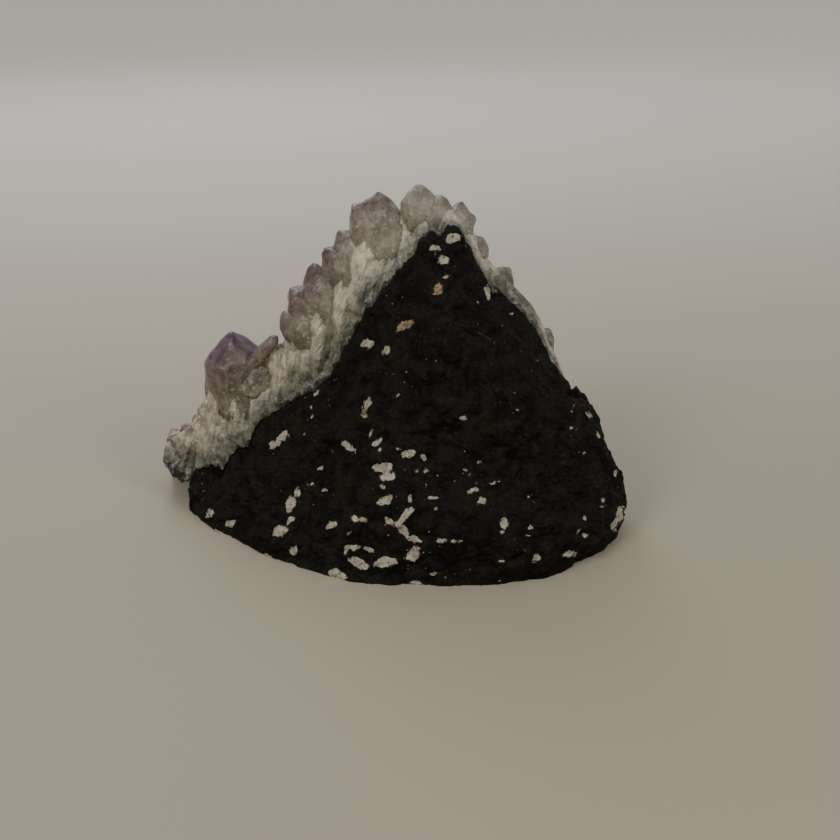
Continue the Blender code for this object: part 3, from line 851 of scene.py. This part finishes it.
def rock_material():
    """Near-black rock with a faint sheen and painted highlights on its grain tops, and on it the mineral
    spots, specks and the scratch.
    """
    n = Nodes("basalt_skin")
    tone = n.stretch(n.noise(4.5, detail=5.0), 0.40, 0.62)
    grain = n.noise(0.8, detail=5.0, roughness=0.65)
    dark = n.mix(tone, (0.0010, 0.0009, 0.0005), (0.0075, 0.0064, 0.0033))
    # Painted highlight: where the fine grain stands highest, which the bump also raises, the colour turns
    # lighter.
    rock = n.mix(n.stretch(grain, 0.56, 0.76), dark, (0.026, 0.023, 0.015))
    ragged = n.math("MULTIPLY", n.math("SUBTRACT", n.noise(1.2, detail=4.0, roughness=0.65), 0.5), 8.0)
    away = n.math("ADD", n.attribute("spot"), ragged)
    spot = n.stretch(away, 0.7, -0.3)
    holes = n.stretch(n.noise(0.75, detail=3.0), 0.70, 0.64)
    spot = n.math("MULTIPLY", spot, holes)
    cream = n.mix(n.stretch(n.noise(1.1), 0.35, 0.7), (0.46, 0.43, 0.35), (0.25, 0.235, 0.185))
    brown = n.mix(n.stretch(n.noise(0.9), 0.4, 0.6), (0.16, 0.09, 0.04), (0.33, 0.26, 0.17))
    mineral = n.mix(n.attribute("brown"), cream, brown)
    speck = n.math("MULTIPLY", n.stretch(n.cells(2.3), 0.13, 0.08), n.stretch(n.noise(14.0), 0.52, 0.60))
    light = n.math("MAXIMUM", spot, n.math("MULTIPLY", speck, 0.6))
    scratch = n.stretch(n.attribute("scratch"), 0.9, 0.1, 0.0, 0.16)
    colour = n.mix(light, rock, mineral)
    colour = n.mix(scratch, colour, (0.22, 0.21, 0.18))
    height = n.math("ADD", n.math("MULTIPLY", grain, 0.6), n.math("MULTIPLY", light, 0.35))
    n.bump(height, 1.0, 0.7)
    return n.set(
        Base_Color=colour,
        Roughness=n.stretch(grain, 0.3, 0.7, 0.75, 0.42),
        Specular_IOR_Level=0.14,
        IOR=1.5,
    )


def streaks(n, across):
    """Noise drawn out along the quartz columns."""
    place = n.add("ShaderNodeCombineXYZ")
    n.join(across, place.inputs[0])
    n.join(n.math("MULTIPLY", n.attribute("up"), 0.14), place.inputs[1])
    return n.noise_at(place.outputs[0], 0.75, detail=4.0, roughness=0.6)


def milky_quartz(n, across, clouds, fibre):
    """Milky quartz, streaked and darker on the left of the broken face, paler above."""
    upper = n.math("MULTIPLY", n.stretch(across, *UPPER_PART), n.stretch(across, *RIGHT_PART))
    fibrous = n.stretch(across, *UPPER_PART, 1.0, 0.4)
    low_milk = n.mix(clouds, (0.21, 0.184, 0.132), (0.44, 0.40, 0.295))
    high_milk = n.mix(clouds, (0.42, 0.388, 0.305), (0.61, 0.57, 0.455))
    bright_fibre = n.math("MULTIPLY", n.stretch(fibre, 0.50, 0.68), fibrous)
    dark_fibre = n.math("MULTIPLY", n.stretch(fibre, 0.46, 0.32), fibrous)
    milk = n.mix(upper, low_milk, high_milk)
    milk = n.mix(n.math("MULTIPLY", bright_fibre, 0.45), milk, (0.56, 0.52, 0.41))
    return n.mix(n.math("MULTIPLY", dark_fibre, 0.45), milk, (0.14, 0.105, 0.080))


def colour_by_level(n, level, behind, clouds, milk):
    """A grey-green rind at the rock, then milky quartz, then mauve, then purple."""
    rind = n.mix(n.stretch(n.noise(2.2), 0.4, 0.6), (0.054, 0.057, 0.043), (0.155, 0.156, 0.118))
    mauve = n.mix(clouds, (0.170, 0.118, 0.096), (0.33, 0.264, 0.222))
    purple = n.mix(clouds, (0.105, 0.045, 0.052), (0.205, 0.120, 0.125))
    mauve = n.mix(behind, mauve, n.mix(clouds, (0.28, 0.19, 0.27), (0.44, 0.34, 0.42)))
    purple = n.mix(behind, purple, n.mix(clouds, (0.22, 0.10, 0.27), (0.42, 0.26, 0.47)))
    colour = n.mix(n.stretch(level, 0.14, 0.58), rind, milk)
    colour = n.mix(n.stretch(level, 0.85, 1.45), colour, mauve)
    return n.mix(n.stretch(level, 1.35, 1.95), colour, purple)


def grained(n, colour, level, in_front, fine):
    """The colour with light and dark grains, which lie on the broken face in front."""
    light_grain = n.math("MULTIPLY", n.stretch(fine, 0.54, 0.72), n.stretch(level, 1.1, 1.7, 0.44, 0.15))
    light_grain = n.math("MULTIPLY", light_grain, in_front)
    dark_grain = n.math("MULTIPLY", n.stretch(fine, 0.47, 0.30), n.math("MULTIPLY", in_front, 0.50))
    colour = n.mix(light_grain, colour, (0.62, 0.59, 0.49))
    return n.mix(dark_grain, colour, (0.060, 0.055, 0.043))


def dirtied(n, colour, rise, behind):
    """The colour with patches of dirt, fainter behind the ridge, and a dark frayed line at the rock."""
    dirt = n.stretch(n.noise(0.9, detail=5.0), 0.60, 0.67)
    dirt = n.math("MULTIPLY", dirt, n.math("SUBTRACT", 0.30, n.math("MULTIPLY", behind, 0.22)))
    frayed = n.math("MULTIPLY", n.math("SUBTRACT", n.noise(1.8, detail=4.0), 0.5), 0.30)
    frayed = n.stretch(n.math("ADD", rise, frayed), 0.055, 0.02)
    colour = n.mix(dirt, colour, (0.035, 0.030, 0.026))
    return n.mix(frayed, colour, (0.006, 0.0055, 0.0045))


def absorb_light(n):
    """Makes the inside of clear quartz purple by taking up light on its way through."""
    absorb = n.add("ShaderNodeVolumeAbsorption")
    absorb.inputs["Color"].default_value = (0.63, 0.37, 0.54, 1.0)
    absorb.inputs["Density"].default_value = 130.0
    output = next(node for node in n.tree.nodes if node.type == "OUTPUT_MATERIAL")
    n.join(absorb.outputs[0], output.inputs["Volume"])


def quartz_material(name, clear):
    """Quartz from the rock outwards: a grey-green rind, milky grains and fibres, then purple points.
    The side behind the ridge is cleaner and more purple than the broken face in front."""
    n = Nodes(name)
    rise = n.attribute("rise")
    across = n.attribute("across")
    place = n.add("ShaderNodeSeparateXYZ")
    n.join(n.place, place.inputs[0])
    behind = n.stretch(place.outputs[1], *BEHIND_THE_RIDGE)
    in_front = n.math("SUBTRACT", 1.0, behind)
    wander = n.math("MULTIPLY", n.math("SUBTRACT", n.noise(4.0), 0.5), 0.55)
    level = n.math("ADD", n.math("ADD", rise, wander), n.math("MULTIPLY", behind, 0.45))
    clouds = n.stretch(n.noise(3.0, detail=4.0), 0.36, 0.62)
    fibre = streaks(n, across)
    fine = n.noise(0.75, detail=4.0, roughness=0.7)
    grain_colour = n.add("ShaderNodeSeparateColor")
    n.join(n.cells(0.65, output="Color"), grain_colour.inputs[0])
    rough_part = n.stretch(rise, 1.55, 0.95)
    # Painted glints: a few grain cells on the rough part are picked to take a near-white colour, as if
    # they caught the light.
    painted_glint = n.math("MULTIPLY", n.stretch(grain_colour.outputs[0], 0.94, 0.96), rough_part)
    painted_glint = n.math("MULTIPLY", painted_glint, n.stretch(level, 0.35, 0.60))

    colour = colour_by_level(n, level, behind, clouds, milky_quartz(n, across, clouds, fibre))
    colour = grained(n, colour, level, in_front, fine)
    # Painted glints: the near-white colour put on those cells.
    colour = n.mix(n.math("MULTIPLY", painted_glint, 0.7), colour, (0.72, 0.70, 0.62))
    colour = dirtied(n, colour, rise, behind)

    grains = n.math("MULTIPLY", grain_colour.outputs[1], 0.12)
    grains = n.math("ADD", grains, n.math("MULTIPLY", fibre, 0.9))
    grains = n.math("MULTIPLY", grains, n.stretch(level, 0.15, 0.5))
    ripples = n.math("ADD", n.math("MULTIPLY", n.noise(2.4), 0.5), n.math("MULTIPLY", n.noise(1.0), 0.2))
    ripples = n.math("ADD", ripples, n.math("MULTIPLY", n.math("MULTIPLY", fine, in_front), 0.45))
    n.bump(n.math("ADD", n.math("MULTIPLY", grains, rough_part), ripples), 0.7, 0.5)
    if clear:
        absorb_light(n)
    worn = n.stretch(n.noise(2.0), 0.35, 0.65, 0.08, 0.38)
    return n.set(
        Base_Color=colour,
        Roughness=n.math("MULTIPLY", worn, n.math("SUBTRACT", 1.0, n.math("MULTIPLY", behind, 0.5))),
        Transmission_Weight=clear,
        Subsurface_Weight=0.0 if clear else 0.35,
        Subsurface_Scale=0.0025,
        IOR=1.54,
    )


def floor_material():
    """A pale floor with painted light: its colour grows lighter towards the back."""
    n = Nodes("pale_floor")
    place = n.add("ShaderNodeSeparateXYZ")
    n.join(n.place, place.inputs[0])
    # Painted light: the colour runs from a darker tone in front to a near-white one at the back.
    far = n.stretch(place.outputs[1], -0.10, 0.90)
    near_tone = n.mix(n.noise(260.0, detail=2.0), (0.342, 0.312, 0.242), (0.40, 0.365, 0.286))
    tone = n.mix(far, near_tone, (0.93, 0.91, 0.86))
    return n.set(Base_Color=tone, Roughness=0.55, Specular_IOR_Level=0.25)


def build_stage():
    """The floor, the lights and the camera at the photograph's viewing angle."""
    bm = bmesh.new()
    bmesh.ops.create_grid(bm, x_segments=1, y_segments=1, size=3.0)
    mesh = bpy.data.meshes.new("floor")
    bm.to_mesh(mesh)
    bm.free()
    mesh.materials.append(floor_material())
    floor = bpy.data.objects.new("floor", mesh)
    bpy.context.scene.collection.objects.link(floor)

    world = bpy.data.worlds.new("soft_room")
    world.use_nodes = True
    world.node_tree.nodes["Background"].inputs["Color"].default_value = (1.0, 0.96, 0.90, 1.0)
    world.node_tree.nodes["Background"].inputs["Strength"].default_value = 0.50
    bpy.context.scene.world = world

    # Place, size, power and colour of each lamp.
    lamps = {
        "left_softbox": ((-0.50, -0.55, 0.62), 0.34, 3.3, (1.0, 0.95, 0.87)),
        "right_softbox": ((0.62, -0.42, 0.55), 0.30, 1.9, (1.0, 0.97, 0.93)),
        "back_softbox": ((-0.25, 0.60, 0.60), 0.40, 1.7, (0.96, 0.97, 1.0)),
    }
    for name, (place, size, power, colour) in lamps.items():
        lamp = bpy.data.lights.new(name, "AREA")
        lamp.size = size
        lamp.energy = power
        lamp.color = colour
        lamp_object = bpy.data.objects.new(name, lamp)
        lamp_object.location = place
        aim = Vector((0, 0, 0.04)) - Vector(place)
        lamp_object.rotation_euler = aim.to_track_quat("-Z", "Y").to_euler()
        bpy.context.scene.collection.objects.link(lamp_object)

    camera = bpy.data.cameras.new("camera")
    camera.sensor_width = 36.0
    camera.lens = 36.0 * FOCAL_PIXELS / FRAME_PIXELS
    camera.clip_start = 0.01
    eye = bpy.data.objects.new("camera", camera)
    forward = Vector((0, math.cos(VIEW_DOWN), -math.sin(VIEW_DOWN)))
    target = (VIEW_TARGET - Vector((CENTRE_X, CENTRE_Y, 0))) * MM
    eye.location = target - forward * VIEW_DISTANCE * MM
    eye.rotation_euler = forward.to_track_quat("-Z", "Y").to_euler()
    bpy.context.scene.collection.objects.link(eye)
    bpy.context.scene.camera = eye


noise.seed_set(WANDER_SEED)
build_stage()
rock = build_rock(rock_material())
crust, crust_surface, crust_marks = build_crust(quartz_material("quartz_crust", 0.0))
points = build_points(quartz_material("amethyst_points", 0.6), crust_surface, crust_marks)
